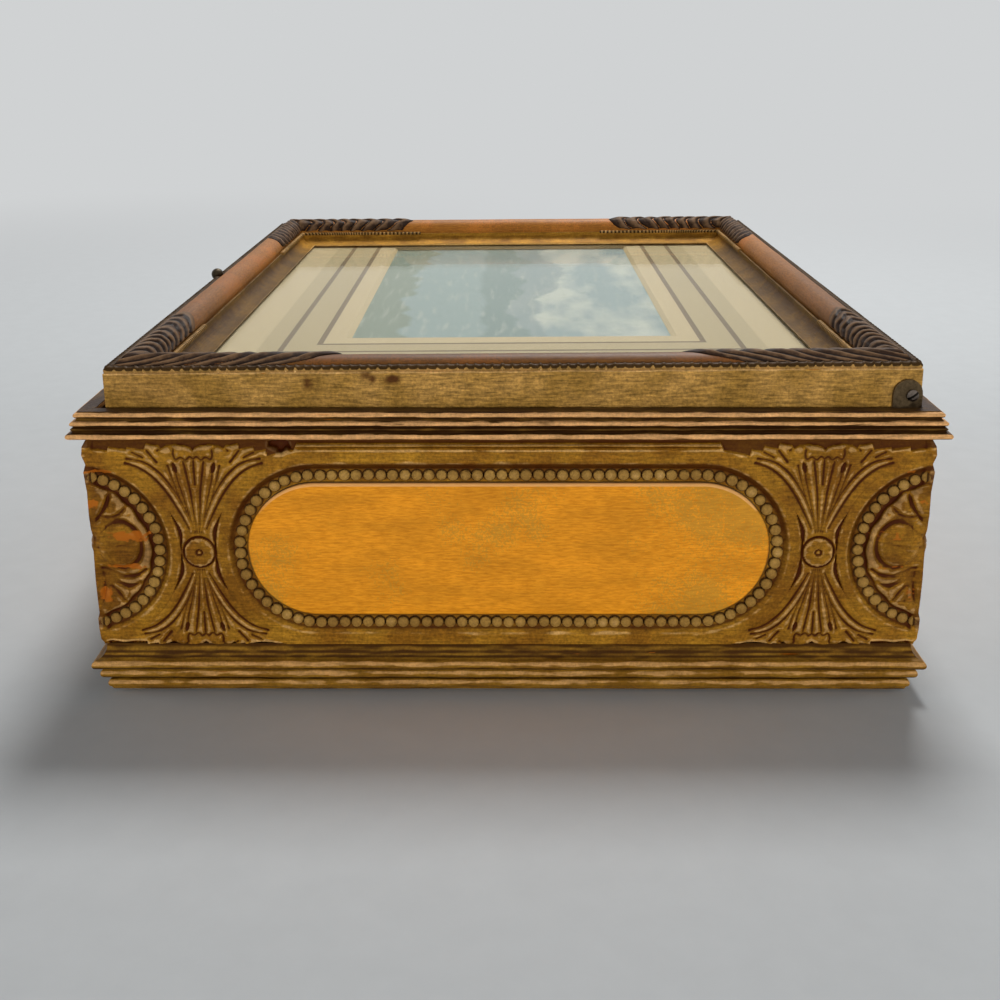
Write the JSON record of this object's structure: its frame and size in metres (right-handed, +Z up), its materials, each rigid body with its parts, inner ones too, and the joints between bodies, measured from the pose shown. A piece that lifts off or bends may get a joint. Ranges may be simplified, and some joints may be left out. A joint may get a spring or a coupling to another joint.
{
  "type": "keepsake box",
  "caption": "Low rectangular wooden keepsake box with moulded ornament on its sides and a hinged lid that frames a picture under glass.",
  "frame": {"origin": "middle of the underside, on the plane the box stands on", "axes": "+X along the long side to the right-hand end, +Y from the knob side to the hinge side, +Z up"},
  "size_m": [0.3116, 0.2234, 0.0926],
  "materials": {
    "gilt_wood": "bronze gold paint over moulded wood, worn on the ridges",
    "lid_wood": "bronze gold sides with a rubbed brown round moulding",
    "leaf_bronze": "dark bronze with gold rubbed on the high lines",
    "plain_wood": "plain thin board",
    "lining": "thin card covered in plain paper",
    "glass": "clear",
    "mat_board": "cream, with tinted lines",
    "print_paper": "pale blue-green print",
    "backing_card": "brown board",
    "dark_steel": "darkened",
    "dark_brass": "tarnished"
  },
  "bodies": {
    "case": {"bottom_board": "plain_wood", "floor_lining": "lining", "base_front": "gilt_wood", "base_right": "gilt_wood", "base_back": "gilt_wood", "base_left": "gilt_wood", "panel_front": "gilt_wood", "panel_right": "gilt_wood", "panel_back": "gilt_wood", "panel_left": "gilt_wood", "rim_front": "gilt_wood", "rim_right": "gilt_wood", "rim_back": "gilt_wood", "rim_left": "gilt_wood", "lining_front": "lining", "lining_right": "lining", "lining_back": "lining", "lining_left": "lining", "bracket_right": "dark_steel", "screw_right_1": "dark_steel", "screw_right_2": "dark_steel", "bracket_left": "dark_steel", "screw_left_1": "dark_steel", "screw_left_2": "dark_steel"},
    "lid": {"lid_front": "lid_wood", "lid_right": "lid_wood", "lid_back": "lid_wood", "lid_left": "lid_wood", "leaf_front_right": "leaf_bronze", "leaf_front_left": "leaf_bronze", "leaf_back_left": "leaf_bronze", "leaf_back_right": "leaf_bronze", "glass": "glass", "picture_mat": "mat_board", "picture_print": "print_paper", "backing_board": "backing_card", "brad_front_1": "dark_steel", "brad_front_2": "dark_steel", "brad_right_1": "dark_steel", "brad_back_1": "dark_steel", "brad_back_2": "dark_steel", "brad_left_1": "dark_steel", "pivot_right": "dark_steel", "pivot_left": "dark_steel", "knob": "dark_brass"}
  },
  "joints": [
    {"name": "lid_hinge", "type": "hinge", "parent": "case", "child": "lid", "pos_m": [0, 0.10246, 0.08174], "axis": [-1, 0, 0], "range_deg": [0, 92]}
  ]
}
